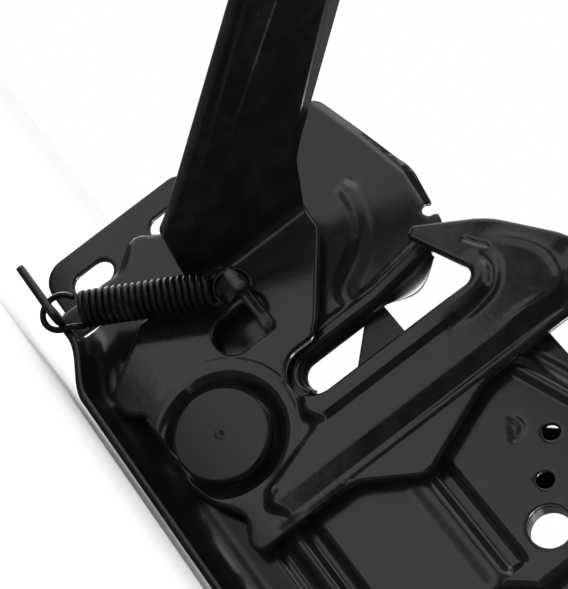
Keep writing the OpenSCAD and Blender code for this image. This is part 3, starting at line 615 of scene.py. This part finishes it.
def baseRelief(p):
    # height over the flat blank: steps fall by the distance from a border line, beads and ribs are added
    x, z = p[:, 0], p[:, 1]
    lineX = np.interp(z, leftZ, leftX)
    slope = np.interp(z, leftZ, np.gradient(leftX, leftZ + np.arange(len(leftZ)) * 1e-9))
    left = (lineX - x) / np.sqrt(1 + slope ** 2)
    rightX = np.interp(z, [31, 37], [71, 76])
    right = (x - rightX) / np.where((z > 31) & (z < 37), 1.3, 1)
    drop = base["flangeDrop"]
    h = -rollOver(left + 3.0, 3.0, drop, 0.9) * (z > -16)
    h = h - rollOver(right + 2.4, 1.6, drop, 0.9) * ramp(z, -14.5, -13)
    top = lineGap(np.array(base["topLine"]), p)
    h = h - rollOver(np.minimum(3.2 - top, 3.1), 3.3, 3.3, 1.0) * (x < -16) * (z > 60)
    throat, _ = loopDepth(throatLoop, p)
    inner = (1 - ramp(z, 66, 70)) * (z > 15)
    h = h - (rollOver(3.0 + throat, 1.9, 2.5, 0.5) - 0.35 * bell(throat, -3.9, 0.25, 0.8)) * inner
    h = h + 0.65 * (1 - ramp(lineGap(smoothLine(base["sBead"], 6), p), 0.2, 3.8))
    h = h - 0.3 * np.exp(-(((x + 37.2) / 1.5) ** 2 + ((z - 65) / 1.2) ** 2))
    # ribs of the right pad, then the panel between them
    run = ramp(x, 28, 32) * (1 - ramp(x, 66.5, 69.5))
    rib = -1.6 * bell(z, 36.0, 1.2, 2.3) + 0.4 * ramp(z, 26.6, 31) * (1 - ramp(z, 31.6, 32.8))
    low = ramp(x, 24, 29) * (1 - ramp(x, 66.5, 69.5))
    foot = -1.6 * bell(z, 3.3, 0.9, 1.7) + 0.6 * bell(z, -0.5, 0.6, 1.6) - 1.2 * bell(z, -4.4, 0.6, 2.0)
    h = h + rib * run + foot * low
    upper = z - (65 + (x - 28) * 0.35)
    ridge = 1.1 * bell(upper, 0, 0.7, 1.6) - 0.6 * bell(upper, 4.4, 0.7, 1.4)
    h = h + ridge * ramp(x, 26, 30) * (1 - ramp(x, 45, 50))
    # half-moon mark
    arc, toward = np.hypot(x - 41.2, z - 55.0), 0.57 * (x - 41.2) + 0.82 * (z - 55.0)
    h = h - 0.45 * np.exp(-((arc - 2.6) / 0.55) ** 2) * ramp(toward, -0.6, 1.0)
    return h - 0.2 * (1 - ramp(arc, 0.4, 2.4)) * ramp(toward, -1, 0.6)


def basePlace(p, h):
    # below the bend line the sheet turns forward round the bend, then runs straight as lip and tab
    x, z = p[:, 0], p[:, 1]
    top = base["bendZ"] + lipRise(x)
    s = np.maximum(top - z, 0) * np.where(z > -17, ramp(x, -50.0, -45.0), 1)
    rad, out = base["bendRadius"], h - baseThick / 2
    ang = np.minimum(s / rad, math.pi / 2)
    extra = np.maximum(s - rad * math.pi / 2, 0)
    mid = padFront + baseThick / 2
    y = mid - rad + (rad - out) * np.cos(ang) - extra
    low = top - (rad - out) * np.sin(ang)
    return np.stack([x, y, np.where(s > 0, low, z)], 1)


roundHoles = [ringLoop(boltAt, 5.2), ringLoop((47.8, 61.8), 2.1, 40), ringLoop((56, 53.5), 2.1, 40),
              ringLoop((-18, 75), 2.0, 40)]
basePlate = pressedSheet("base_plate_sheet", [baseBlank], [throatLoop] + roundHoles + slotLoops,
                         baseThick, base["step"], base["roll"], basePlace, baseRelief)
settle(basePlate, "base", baseCoat, "base_sheet", "base_plate")

# slot edge: the sheet rolls back into the slot, deepest in a lens-shaped cheek at the mouth
slotLip = {"radius": 2.3, "wall": 2.4, "cheek": 8.6, "cheekFrom": 50.8, "cheekTo": 68.0}


def lipStrip(name):
    # closed profile of inward reach and depth carried along the slot's edge;
    # its wall part is stretched by the depth at that place
    bend = np.radians(np.linspace(300, 180, 40))
    foot = np.stack([throatX + throatR * np.cos(bend), throatFoot + throatR + throatR * np.sin(bend)], 1)
    side = np.stack([np.full(40, throatX - throatR), np.linspace(29, 50.5, 40)], 1)
    mouth = np.stack([np.linspace(-6.25, -8.5, 50), np.linspace(51.2, 68.2, 50)], 1)
    line = np.concatenate([foot, side, mouth])
    along = np.gradient(line, axis=0)
    along /= np.linalg.norm(along, axis=1, keepdims=True)
    inward = np.stack([along[:, 1], -along[:, 0]], 1)
    z = line[:, 1]
    share = np.clip((z - slotLip["cheekFrom"]) / (slotLip["cheekTo"] - slotLip["cheekFrom"]), 0, 1)
    deep = slotLip["wall"] * (1 - ramp(z, 44, 50.5)) + slotLip["cheek"] * np.sin(math.pi * share ** 1.3) + 0.3
    rad, wall = slotLip["radius"], np.linspace(0.06, 0.95, 8)
    turn = np.radians(np.linspace(90, 24, 9))
    rollReach = rad * np.cos(turn) - rad + 0.1 + rad * (1 - math.cos(turn[-1]))
    wallReach, wallTop = 0.1 + (1 - (1 - wall) ** 2), padFront + rad - 0.06
    reach = np.concatenate([[-3.6, -3.3, -2.9, -2.6], rollReach, wallReach, [0.95, 0.35, 0.1, -0.9, -3.6]])
    level = np.concatenate([[-7.9, -8.08, -8.16, -8.12], wallTop - rad * np.sin(turn), np.full(12, wallTop),
                            [-7.0]])
    stretch = np.concatenate([np.zeros(13), wall, [1, 1, 0.9, 0, 0]])
    flat = line[:, None] + inward[:, None] * reach[None, :, None]
    y = level[None] + stretch[None] * deep[:, None]
    points = np.stack([flat[..., 0], y, flat[..., 1]], 2)
    ends = [np.broadcast_to(points[k].mean(0), points[k].shape)[None] for k in (0, -1)]
    points = np.concatenate([ends[0], points, ends[1]])
    grid = np.arange(points.shape[0] * points.shape[1]).reshape(points.shape[:2])
    around = np.roll(grid, -1, axis=1)
    faces = np.stack([grid[:-1], around[:-1], around[1:], grid[1:]], 2).reshape(-1, 4)
    return makeMesh(name, points.reshape(-1, 3), faces, tidy=True)


settle(lipStrip("base_plate_lip"), "base", baseCoat, "base_sheet", "base_plate")
print("base plate ready")

# claw: a blanked disc with two jaws round the striker's seat, drawn open by its swing
claw = {"swing": math.radians(50), "seatR": 4.6, "discR": 16.7, "boreR": 5.58, "jawRun": 9.0,
        "springHole": (0, 12), "holeR": 0.85, "step": 0.5, "roll": 0.45,
        "notch": [(207, 22.7), (207, 13.5), (194, 14.1), (194, 17.7)]}  # bearing and distance from the pivot
seatR, turnCos, turnSin = claw["seatR"], math.cos(claw["swing"]), math.sin(claw["swing"])
seatArm = np.array([throatX, strikerAt[2]]) - clawAt
seat = clawAt + np.array([seatArm[0] * turnCos + seatArm[1] * turnSin,
                          seatArm[1] * turnCos - seatArm[0] * turnSin])
flank = seat + seatR * np.array([turnSin, turnCos])
jawTip = flank + claw["jawRun"] * np.array([-turnCos, turnSin])
lowerJaw = roundedLoop([[18, 29, 0], [9.2, 29.5, 0.6], [-9.6, 48, 1.2], [-7.4, seat[1] - seatR, 2.4],
                        [seat[0], seat[1] - seatR, 0], [30, 45, 0]])
upperJaw = roundedLoop([[seat[0] + 1, seat[1] - seatR, 0], [flank[0], flank[1], 0],
                        [jawTip[0], jawTip[1], 1.6], [jawTip[0] + 3.5, jawTip[1] + 3, 2.5], [14, 69.4, 5],
                        [25, 63.4, 10], [45.7, 33, 0], [30, 33, 0]])
bearing, away = np.array(claw["notch"]).T
notchLoop = clawAt + away[:, None] * np.stack([np.cos(np.radians(bearing)), np.sin(np.radians(bearing))], 1)
clawPlate = pressedSheet("claw_plate", [ringLoop(clawAt, claw["discR"], 120), lowerJaw, upperJaw],
                         [ringLoop(seat, seatR), notchLoop, ringLoop(clawAt, claw["boreR"]),
                          ringLoop(clawAt + claw["springHole"], claw["holeR"], 24)],
                         clawThick, claw["step"], claw["roll"], flatAt(clawFront, clawThick))
settle(clawPlate, "claw", clawMetal, "zinc_steel", "claw")

# pawl: a ring with a toothed arm and a tail for the cable
pawl = {"toothBearing": math.radians(250), "toothGap": 0.45, "ringR": 9.9, "boreR": 6.58,
        "cableHole": (0, -14), "cableR": 2.4, "springHole": (13.6, 5.6), "holeR": 0.85, "step": 0.5, "roll": 0.45}
toothRun = np.array([math.cos(pawl["toothBearing"]), math.sin(pawl["toothBearing"])])
toothX, toothZ = clawAt + (claw["discR"] + pawl["toothGap"]) * toothRun
pawlArm = roundedLoop([[-4, 8, 0], [6, 9, 2], [toothX - 4.6, toothZ - 4.6, 2],
                       [toothX - 1.7, toothZ + 0.4, 0.3], [toothX + 1.2, toothZ - 0.7, 0.4],
                       [toothX + 2.4, toothZ - 6, 3], [8, -6, 4], [0, -8, 0]])
pawlTail = roundedLoop([[-7, 0, 0], [-4.5, -18.5, 3], [4.5, -18.5, 3], [7, 0, 0]])
pawlPlate = pressedSheet("pawl_plate", [ringLoop((0, 0), pawl["ringR"], 96), pawlArm, pawlTail],
                         [ringLoop((0, 0), pawl["boreR"]), ringLoop(pawl["cableHole"], pawl["cableR"], 40),
                          ringLoop(pawl["springHole"], pawl["holeR"], 24)],
                         clawThick, pawl["step"], pawl["roll"], flatAt(clawFront, clawThick))
settle(pawlPlate, "pawl", clawMetal, "zinc_steel", "pawl")

# back plate with its turned-back cable ear
back = {"step": 0.62, "roll": 0.5, "earFrom": -27.0, "earRadius": 2.0, "cableAt": (-35.9, -13), "cableR": 2.5}
backBlank = roundedLoop([[-32, 26, 6], [-32, 44, 6], [-20, 44, 5], [-13.5, 24, 2], [5, 24, 0], [5, 76, 3],
                         [29, 76, 5], [33, 63, 3], [38, 58, 2], [47.5, 68, 3], [57, 65, 4], [57, 52, 4],
                         [54.4, 44, 4], [48, 34, 5], [48, 18, 6], [30, -12, 5], [-8, -13, 6], [-14, -4, 5]])
earBlank = roundedLoop([[-4, -3, 0], [-28, -6, 2], [-40.2, -6, 1.5], [-40.2, -20, 1.5], [-22, -20, 3],
                        [-4, -12, 2]])
earSlot = roundedLoop([[-34.4, -5, 0], [-37.4, -5, 0], [-37.4, -13, 0], [-34.4, -13, 0]])


def backPlace(p, h):
    # left of the bend line the arm turns back round the bend and runs straight as the ear
    x, z = p[:, 0], p[:, 1]
    s = np.where(z < -4, np.maximum(back["earFrom"] - x, 0), 0)
    rad, out = back["earRadius"], h - baseThick / 2
    ang = np.minimum(s / rad, math.pi / 2)
    extra = np.maximum(s - rad * math.pi / 2, 0)
    mid = backFront + baseThick / 2
    bx = back["earFrom"] - (rad + out) * np.sin(ang)
    by = mid + rad - (rad + out) * np.cos(ang) + extra
    return np.stack([np.where(s > 0, bx, x), np.where(s > 0, by, mid - out), z], 1)


backPlate = pressedSheet("back_plate_sheet", [backBlank, earBlank],
                         [throatLoop, earSlot, ringLoop(back["cableAt"], back["cableR"], 48)],
                         baseThick, back["step"], back["roll"], backPlace)
settle(backPlate, "base", baseCoat, "base_sheet", "back_plate")
print("claw, pawl and back plate ready")


# turned pieces
def tubeProfile(inner, outer, yFrom, yTo, soft):
    # section of a tube wall: inner to outer radius, yFrom to yTo, corners softened
    corners = [(inner, yFrom, soft), (outer, yFrom, soft), (outer, yTo, soft), (inner, yTo, soft)]
    return roundedLoop(corners, 0.15)


rivet = {"head": 12.0, "front": -15.3, "under": -11.7, "shoulder": 7.0, "shank": 5.0,
         "tail": 8.0, "tailHigh": 2.0}
tailEnd = backRear + rivet["tailHigh"]
rivetSteps = [(0, rivet["front"], 0), (rivet["head"], rivet["front"], 0.55),
              (rivet["head"], rivet["under"], 0.4), (rivet["shoulder"], rivet["under"], 0.2),
              (rivet["shoulder"], padFront, 0.2), (rivet["shank"], padFront, 0.2),
              (rivet["shank"], backRear, 0.2), (rivet["tail"], backRear, 0.4),
              (rivet["tail"], tailEnd, 1.1), (0, tailEnd, 0)]
# small centre mark left by the turning tool
pit = np.array([[0.0, 0.32], [0.25, 0.28], [0.55, 0.06], [0.8, -0.07], [1.1, -0.05], [1.6, 0.0]])
rivetLine = roundedLoop(rivetSteps, 0.2)[1:]
rivetLine = np.concatenate([np.stack([pit[:, 0], rivet["front"] + pit[:, 1]], 1), rivetLine])
leverRivet = turnedPiece("lever_rivet_turned", [((0, 0), rivetLine)], 180)
settle(leverRivet, "base", turnedCoat("rivet_coat", (0, 0)), "rivet_steel", "lever_rivet")


def smallRivet(head, high, shank):
    # two low domed heads on one shank
    ang = np.radians(np.linspace(90, 8, 10))
    dome = np.stack([head * np.cos(ang), high * np.sin(ang)], 1)
    front = np.stack([dome[:, 0], padFront - dome[:, 1]], 1)
    rear = np.stack([dome[::-1, 0], backRear + dome[::-1, 1]], 1)
    middle = [[head, padFront], [shank, padFront], [shank, backRear], [head, backRear]]
    return np.concatenate([front, middle, rear])


clawRivet = turnedPiece("claw_rivet_turned", [(clawAt, smallRivet(6.5, 1.8, 4.0))])
settle(clawRivet, "base", turnedCoat("claw_rivet_coat", clawAt), "rivet_steel", "claw_rivet")
postRivets = turnedPiece("post_rivets_turned", [(p, smallRivet(4.4, 1.6, 2.4)) for p in posts], 72)
settle(postRivets, "base", baseCoat, "rivet_steel", "post_rivets")
# places, then inner and outer radius, front, rear and softening
tubes = [
    ("claw_sleeve_tube", "claw_sleeve", [clawAt], (4.03, 5.53, padBack, backFront, 0.25)),
    ("pawl_sleeve_tube", "pawl_sleeve", [(0, 0)], (5.03, 6.53, padBack, backFront, 0.25)),
    ("post_sleeve_tubes", "post_sleeves", posts, (2.43, 4.0, padBack, backFront, 0.25)),
    ("claw_washer_ring", "claw_washer", [clawAt], (claw["boreR"], 10.0, 1.6, backFront, 0.12)),
    ("pawl_washer_ring", "pawl_washer", [(0, 0)], (pawl["boreR"], 10.0, 1.6, backFront, 0.12)),
    ("lever_washer_ring", "lever_washer", [(0, 0)], (7.05, 11.8, -8.4, padFront, 0.12)),
    ("mount_collar_tube", "mount_collar", [boltAt], (5.2, 8.0, padBack, 0.0, 0.4)),
]
for name, node, places, sizes in tubes:
    tube = turnedPiece(name, [(at, tubeProfile(*sizes)) for at in places], 96)
    settle(tube, "base", baseCoat if node == "mount_collar" else plateMetal, "zinc_steel", node)
leverBush = turnedPiece("lever_bush_tube", [((0, 0), tubeProfile(7.05, 9.0, -11.5, -8.5, 0.2))])
settle(leverBush, "lever", bushStuff, "bush_plastic", "lever_bush")
print("turned pieces ready")

# springs
spring = {"wire": 0.8, "coil": 4.5, "turns": 20, "y": -21.5, "low": (-47.67, -9.39),
          "high": (-29.53, 19.29), "loop": 4.8, "loopOff": 5.3}


def easeLine(path, width, rounds):  # moving average that softens the joins between loops and coils
    for _ in range(rounds):
        wide = np.concatenate([np.repeat(path[:1], width, 0), path, np.repeat(path[-1:], width, 0)])
        path = np.mean([wide[k:k + len(path)] for k in range(2 * width + 1)], 0)
    return path


lowEnd = np.array([spring["low"][0], spring["y"], spring["low"][1]])
highEnd = np.array([spring["high"][0], spring["y"], spring["high"][1]])
springRun = (highEnd - lowEnd) / np.linalg.norm(highEnd - lowEnd)
springSide = np.array([springRun[2], 0, -springRun[0]])
springDeep = np.array([0.0, 1.0, 0.0])
loopAng = np.radians(-50 - 250 * np.linspace(0, 1, 64))[:, None]
lowAt, highAt = lowEnd - spring["loopOff"] * springRun, highEnd + spring["loopOff"] * springRun
lowLoop = lowAt + spring["loop"] * (np.cos(loopAng) * springRun + np.sin(loopAng) * springSide)
loopAng = np.radians(60 - 250 * np.linspace(0, 1, 64))[:, None]
highLoop = highAt - spring["loop"] * (np.cos(loopAng) * springRun - np.sin(loopAng) * springSide)
coilT = np.linspace(0, 1, spring["turns"] * 28 + 1)[:, None]
coilAng = coilT * spring["turns"] * 2 * math.pi
coilRing = np.cos(coilAng) * springSide + np.sin(coilAng) * springDeep
coils = lowEnd + (highEnd - lowEnd) * coilT + spring["coil"] * coilRing
joinA = lowLoop[-1] + (coils[0] - lowLoop[-1]) * np.linspace(0.2, 0.8, 4)[:, None]
joinB = coils[-1] + (highLoop[0] - coils[-1]) * np.linspace(0.2, 0.8, 4)[:, None]
springLine = easeLine(np.concatenate([lowLoop, joinA, coils, joinB, highLoop]), 2, 2)
leverSpring = wirePiece("lever_spring_wire", springLine, spring["wire"])
settle(leverSpring, None, wireMetal, "spring_wire", "lever_spring")
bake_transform(leverSpring)


def torsionLine(at, coilR, post, side, leg, wire=0.5):
    # leg from its post, coils round the sleeve, leg out to its hole and through it
    at, post, leg = (np.array(v, float) for v in (at, post, leg))
    y0, lift = padBack + wire + 0.1, 2.1 * wire
    a0 = math.atan2(*(post - at)[::-1]) + math.radians(70)
    a1 = math.atan2(leg[1], leg[0]) - math.radians(60)
    sweep = 2 * math.pi + (a1 - a0) % (2 * math.pi)
    t = np.linspace(0, 1, 72)
    coil = np.stack([at[0] + coilR * np.cos(a0 + sweep * t), y0 + lift * sweep / (2 * math.pi) * t,
                     at[1] + coilR * np.sin(a0 + sweep * t)], 1)
    start = at + coilR * np.array([math.cos(a0), math.sin(a0)])
    reach, bear = np.linalg.norm(post - start), 4.0 + wire + 0.03
    aim = math.atan2(*(post - start)[::-1]) + side * math.asin(bear / reach)
    rest = start + (math.sqrt(reach ** 2 - bear ** 2) + 2) * np.array([math.cos(aim), math.sin(aim)])
    yEnd = coil[-1, 1]
    legIn = np.linspace([rest[0], y0, rest[1]], coil[0], 30)[:-1]
    legOut = np.linspace(coil[-1], [at[0] + leg[0], yEnd, at[1] + leg[1]], 12)[1:]
    hook = np.linspace(legOut[-1], [at[0] + leg[0], clawFront + 2, at[1] + leg[1]], 10)[1:]
    return easeLine(np.concatenate([legIn, coil, legOut, hook]), 1, 2)


for name, node, body, at, coilR, post, side, leg in (
        ("claw_spring_wire", "claw_spring", "claw", clawAt, 7.13, posts[2], -1, claw["springHole"]),
        ("pawl_spring_wire", "pawl_spring", "pawl", (0, 0), 8.13, posts[1], 1, pawl["springHole"])):
    wound = wirePiece(name, torsionLine(at, coilR, post, side, leg), 0.5, 12)
    settle(wound, None, wireMetal, "spring_wire", node)
    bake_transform(wound)
print("springs ready")

# studio: white surround for the camera and for reflections, soft lamps, pale floor
studio = {"world": 1.0, "floorTone": (0.95, 0.95, 0.95, 1), "floorSize": 6.0, "aim": (-0.005, -0.012, 0.0)}
scene = bpy.context.scene
scene.view_settings.view_transform = "Standard"
world = bpy.data.worlds.new("studio_world")
scene.world = world
world.use_nodes = True
tree = world.node_tree
rays = tree.nodes.new("ShaderNodeLightPath")
seen = tree.nodes.new("ShaderNodeMath")
seen.operation = "MAXIMUM"
tree.links.new(rays.outputs["Is Camera Ray"], seen.inputs[0])
shiny = tree.nodes.new("ShaderNodeMath")
shiny.operation = "MAXIMUM"
tree.links.new(rays.outputs["Is Glossy Ray"], shiny.inputs[0])
tree.links.new(rays.outputs["Is Transmission Ray"], shiny.inputs[1])
tree.links.new(shiny.outputs[0], seen.inputs[1])
level = tree.nodes.new("ShaderNodeMapRange")
level.inputs["To Min"].default_value = studio["world"]
level.inputs["To Max"].default_value = 1.0
tree.links.new(seen.outputs[0], level.inputs["Value"])
sky = tree.nodes["Background"]
sky.inputs["Color"].default_value = (1, 1, 1, 1)
tree.links.new(level.outputs[0], sky.inputs["Strength"])


def softLamp(name, spot, width, height, power):
    # rectangular area lamp turned towards the aim
    lamp = bpy.data.lights.new(name, "AREA")
    lamp.shape, lamp.size, lamp.size_y, lamp.energy = "RECTANGLE", width, height, power
    holder = bpy.data.objects.new(name, lamp)
    scene.collection.objects.link(holder)
    away = Vector(spot) - Vector(studio["aim"])
    holder.matrix_world = Matrix.Translation(Vector(spot)) @ away.to_track_quat("Z", "Y").to_matrix().to_4x4()
    return holder


# place, width, height, power and whether reflections show the lamp
lamps = {"key_lamp": ((-0.75, -0.35, 0.75), 1.0, 1.0, 3.5, True),
         "edge_strip": ((0.44, 0.90, 0.18), 0.14, 0.45, 2.0, True),
         "left_strip": ((-0.90, 0.45, 0.15), 0.45, 0.4, 2.2, True),
         "top_lamp": ((-0.1, 0.15, 1.1), 0.9, 0.4, 4, False)}
for name, (spot, width, height, power, shown) in lamps.items():
    softLamp(name, spot, width, height, power).visible_glossy = shown

floorMesh = bpy.data.meshes.new("floor")
half = studio["floorSize"] / 2
floorZ = float(np.array(cadBox[0])[2]) - 0.0006
floorMesh.from_pydata([(-half, -half, floorZ), (half, -half, floorZ), (half, half, floorZ),
                       (-half, half, floorZ)], [], [(0, 1, 2, 3)])
floor = bpy.data.objects.new("floor", floorMesh)
scene.collection.objects.link(floor)
floorMaterial = bpy.data.materials.new("floor_paper")
floorMaterial.use_nodes = True
ft = floorMaterial.node_tree
paper = ft.nodes["Principled BSDF"]
paper.inputs["Base Color"].default_value = studio["floorTone"]
paper.inputs["Roughness"].default_value = 0.9
floorMesh.materials.append(floorMaterial)

# cards that only reflections see: a black wall round the right side, a grey one behind,
# a dark ceiling and floor, and a dark one above the horizon in front
cards = {"right": (6.0, 142.0, 0.9, 0.025), "behind": (142.0, 222.0, 0.9, 0.22), "radius": 1.0,
         "ceiling": ((-0.7, -0.5), (1.0, 1.0), 0.9, 0.05), "ground": ((-0.22, -0.30), (1.0, 1.0), 0.10),
         "front": ((-0.45, 0.25), -0.92, (0.165, 0.55), 0.1)}


def darkCard(name, points, faces, tone):
    # a matt sheet of one tone that reflections alone see
    sheet = bpy.data.meshes.new(name)
    sheet.from_pydata(points, [], faces)
    material = bpy.data.materials.new(name)
    material.use_nodes = True
    matt = material.node_tree.nodes["Principled BSDF"]
    matt.inputs["Base Color"].default_value = (tone, tone, tone, 1)
    matt.inputs["Roughness"].default_value = 1.0
    matt.inputs["Specular IOR Level"].default_value = 0.0
    sheet.materials.append(material)
    holder = bpy.data.objects.new(name, sheet)
    scene.collection.objects.link(holder)
    for kind in ("camera", "diffuse", "shadow", "transmission"):
        setattr(holder, "visible_" + kind, False)


for side in ("right", "behind"):
    first, last, high, tone = cards[side]
    sweep = np.radians(np.linspace(first, last, 37))
    wall = np.stack([cards["radius"] * np.sin(sweep), -cards["radius"] * np.cos(sweep),
                     np.full(37, floorZ + 0.0004)], 1)
    darkCard("card_" + side, np.concatenate([wall, wall + [0, 0, high]]).tolist(),
             [(k, k + 1, k + 38, k + 37) for k in range(36)], tone)
(x0, y0), (x1, y1), high, tone = cards["ceiling"]
darkCard("card_ceiling", [(x0, y0, high), (x1, y0, high), (x1, y1, high), (x0, y1, high)],
         [(0, 1, 2, 3)], tone)
(x0, y0), (x1, y1), tone = cards["ground"]
darkCard("card_ground", [(x0, y0, floorZ + 0.0003), (x1, y0, floorZ + 0.0003), (x1, y1, floorZ + 0.0003),
                         (x0, y1, floorZ + 0.0003)], [(0, 1, 2, 3)], tone)
(x0, x1), y0, (low, high), tone = cards["front"]
darkCard("card_front", [(x0, y0, low), (x1, y0, low), (x1, y0, high), (x0, y0, high)], [(0, 1, 2, 3)], tone)

# camera solved from the photograph
view = {"place": (184.5, -405.2, 13.9), "azimuth": 27.63, "elevation": -2.46, "roll": 52.62,
        "focalPixels": 1791.7, "imageWide": 568}
az, el, roll = (math.radians(view[k]) for k in ("azimuth", "elevation", "roll"))
backward = np.array([math.sin(az) * math.cos(el), -math.cos(az) * math.cos(el), math.sin(el)])
level0 = np.array([math.cos(az), math.sin(az), 0])
upright = np.cross(backward, level0)
rightward = level0 * math.cos(roll) + upright * math.sin(roll)
upward = -level0 * math.sin(roll) + upright * math.cos(roll)
lens = bpy.data.cameras.new("camera")
lens.sensor_fit, lens.sensor_width = "HORIZONTAL", 36.0
lens.lens = view["focalPixels"] / view["imageWide"] * 36.0
lens.clip_start, lens.clip_end = 0.01, 20
camera = bpy.data.objects.new("camera", lens)
scene.collection.objects.link(camera)
turned = Matrix([[*row] for row in np.stack([rightward, upward, backward], 1)]).to_4x4()
camera.matrix_world = Matrix.Translation(Vector(toRow(view["place"]))) @ turned
scene.camera = camera
print("studio ready")
